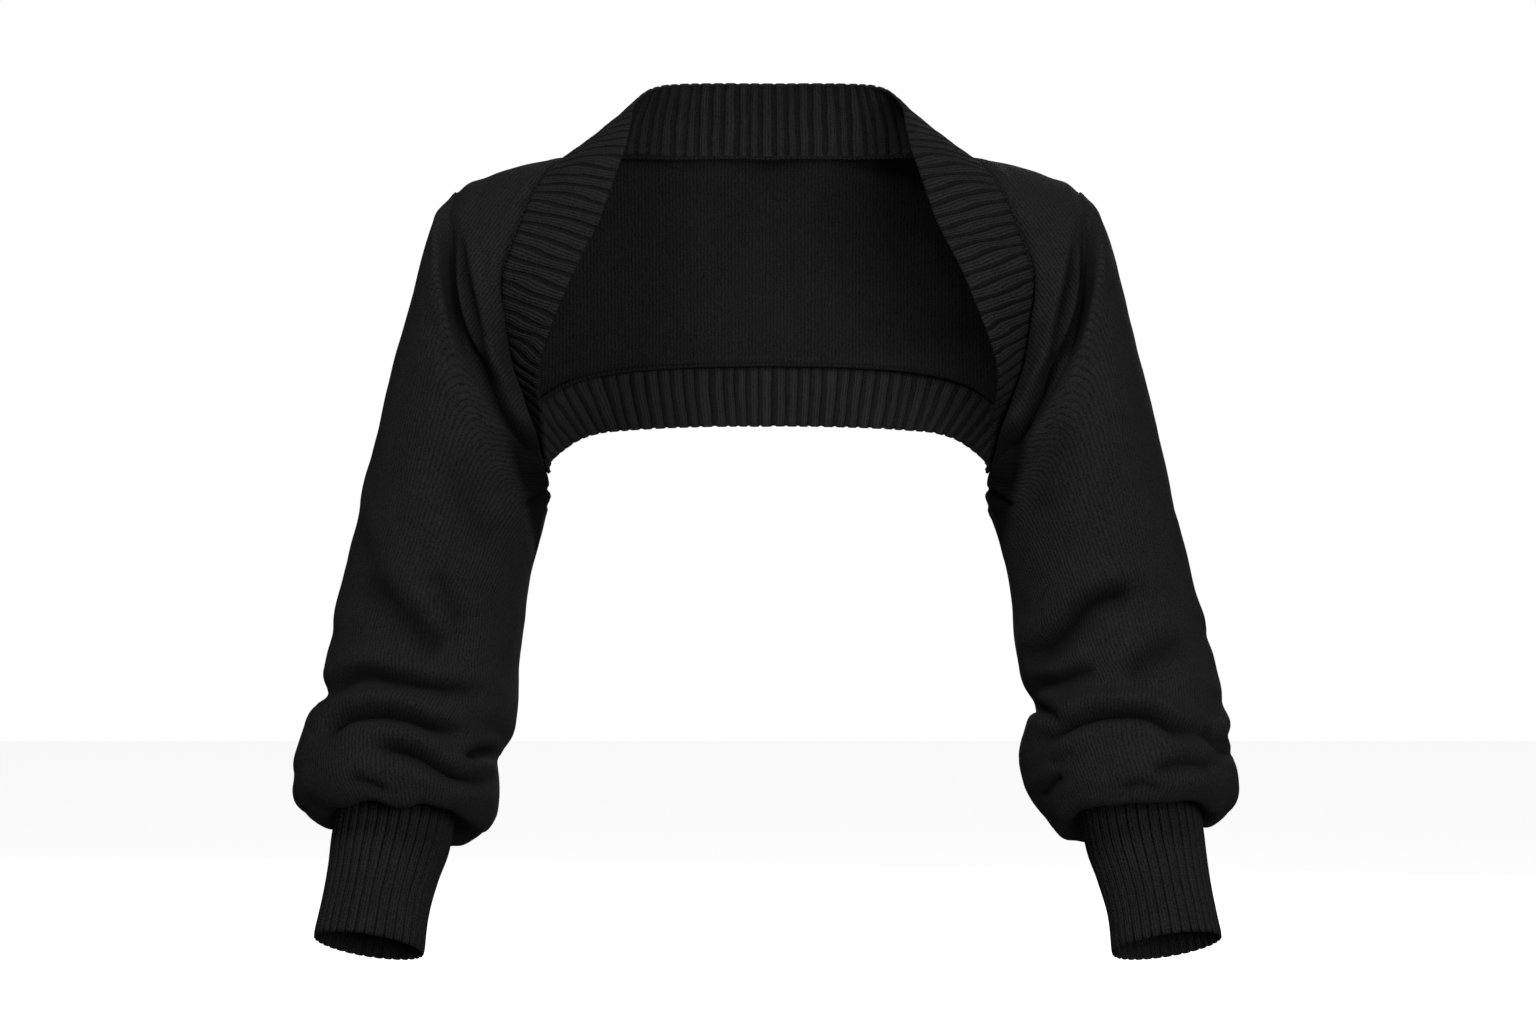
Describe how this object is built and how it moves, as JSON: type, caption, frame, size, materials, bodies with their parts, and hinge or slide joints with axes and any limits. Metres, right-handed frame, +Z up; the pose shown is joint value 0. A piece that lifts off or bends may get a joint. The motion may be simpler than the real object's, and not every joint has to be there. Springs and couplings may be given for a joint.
{
  "type": "knitted shrug",
  "caption": "Worn-shape knitted shrug with a ribbed band round the whole opening, full sleeves that blouse over long ribbed cuffs, and a short back.",
  "frame": {"origin": "on the wearer's shoulders, at the middle of the base of the neck", "axes": "+X towards the wearer's left, +Y towards the wearer's back, +Z up; the open front faces -Y"},
  "size_m": [0.6471, 0.2239, 0.6153],
  "materials": {
    "jersey_knit": "fine plain knit, matte black",
    "rib_knit": "chunky rib knit, matte black"
  },
  "bodies": {
    "root": {"body": "jersey_knit", "sleeve_left": "jersey_knit", "sleeve_right": "jersey_knit", "band": "rib_knit", "cuff_left": "rib_knit", "cuff_right": "rib_knit"}
  },
  "joints": []
}
